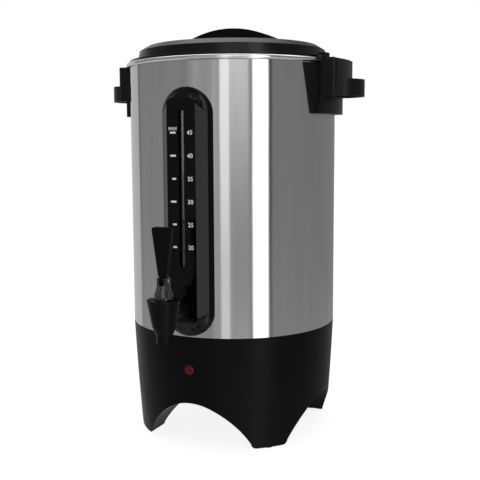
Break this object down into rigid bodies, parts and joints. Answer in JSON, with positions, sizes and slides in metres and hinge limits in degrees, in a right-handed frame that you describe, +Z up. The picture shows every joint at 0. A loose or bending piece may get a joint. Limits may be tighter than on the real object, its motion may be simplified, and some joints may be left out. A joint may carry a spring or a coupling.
{
  "type": "coffee urn",
  "caption": "Percolating coffee urn: brushed steel drum on a black arched base, sight gauge, lever tap, side handles and a lift-off lid.",
  "frame": {"origin": "on the floor under the middle of the urn's round body", "axes": "+Z up, -Y towards the tap and gauge (front), +X towards the right handle seen from the front"},
  "size_m": [0.2976, 0.2946, 0.4392],
  "materials": {
    "black_satin_plastic": "satin moulded",
    "black_gloss_plastic": "glossy moulded",
    "brushed_shell": "vertical brushed",
    "bright_steel": "polished rolled rim and tank",
    "plain_aluminium": "satin",
    "clear_tube": "clear",
    "red_lens": "translucent red",
    "black_rubber": "matt",
    "clear_silicone": "milky",
    "zinc_screws": "zinc plated",
    "heater_metal": "dull",
    "white_ceramic": "glazed",
    "brass_pins": "plain"
  },
  "bodies": {
    "urn": {"base_skirt": "black_satin_plastic", "base_cover": "black_satin_plastic", "base_screws": "zinc_screws", "foot_pads": "black_rubber", "body_shell": "brushed_shell", "inner_tank": "bright_steel", "perk_heater": "heater_metal", "keep_warm_heater": "heater_metal", "thermostat": "plain_aluminium", "thermal_fuse": "white_ceramic", "heat_shield": "plain_aluminium", "tie_rod": "zinc_screws", "tie_nut": "zinc_screws", "terminal_block": "white_ceramic", "indicator_lens": "red_lens", "indicator_lamp": "clear_tube", "cord_inlet": "black_satin_plastic", "inlet_pins": "brass_pins", "gauge_housing": "black_gloss_plastic", "gauge_plate": "black_gloss_plastic", "gauge_screws": "zinc_screws", "sight_tube": "clear_tube", "sight_tube_seals": "black_rubber", "tap_shank": "black_gloss_plastic", "tap_gaskets": "black_rubber", "tap_shank_nut": "black_gloss_plastic", "tap_body": "black_gloss_plastic", "tap_bonnet": "black_gloss_plastic", "lever_pin": "zinc_screws", "handle_right": "black_satin_plastic", "handle_left": "black_satin_plastic", "handle_screws": "zinc_screws"},
    "lid_seal": {"lid_gasket": "black_rubber"},
    "lid": {"lid_cover": "black_satin_plastic", "lid_grip": "black_satin_plastic", "lid_screws": "zinc_screws"},
    "lever": {"tap_lever": "black_gloss_plastic"},
    "valve": {"tap_stem": "zinc_screws", "seat_cup": "clear_silicone", "stem_spring": "bright_steel"},
    "spreader": {"basket_spreader": "plain_aluminium"},
    "basket": {"brew_basket": "plain_aluminium"},
    "pump": {"pump_tube": "plain_aluminium", "pump_disc": "plain_aluminium"}
  },
  "joints": [
    {"name": "lid_lift", "type": "slide", "parent": "urn", "child": "lid_seal", "axis": [0, 0, 1], "range_m": [0, 0.42]},
    {"name": "lid_twist", "type": "hinge", "parent": "lid_seal", "child": "lid", "pos_m": [0, 0, 0.403], "axis": [0, 0, -1], "range_deg": [0, 13.3]},
    {"name": "tap_lever_pull", "type": "hinge", "parent": "urn", "child": "lever", "pos_m": [0, -0.162, 0.186], "axis": [1, 0, 0], "range_deg": [0, 40], "stiffness_Nm_per_rad": 0.25, "springref_deg": -17.19},
    {"name": "valve_rise", "type": "slide", "parent": "urn", "child": "valve", "axis": [0, 0, 1], "range_m": [0, 0.0045], "deforming": ["stem_spring"]},
    {"name": "spreader_lift", "type": "slide", "parent": "urn", "child": "spreader", "axis": [0, 0, 1], "range_m": [0, 0.33]},
    {"name": "basket_lift", "type": "slide", "parent": "urn", "child": "basket", "axis": [0, 0, 1], "range_m": [0, 0.265]},
    {"name": "pump_lift", "type": "slide", "parent": "urn", "child": "pump", "axis": [0, 0, 1], "range_m": [0, 0.19]}
  ],
  "couplings": [
    {"joint": "valve_rise", "follows": "tap_lever_pull", "m_per_rad": 0.0064},
    {"joint": "spreader_lift", "follows": "lid_lift", "ratio": 0.78},
    {"joint": "basket_lift", "follows": "lid_lift", "ratio": 0.62},
    {"joint": "pump_lift", "follows": "lid_lift", "ratio": 0.44}
  ]
}
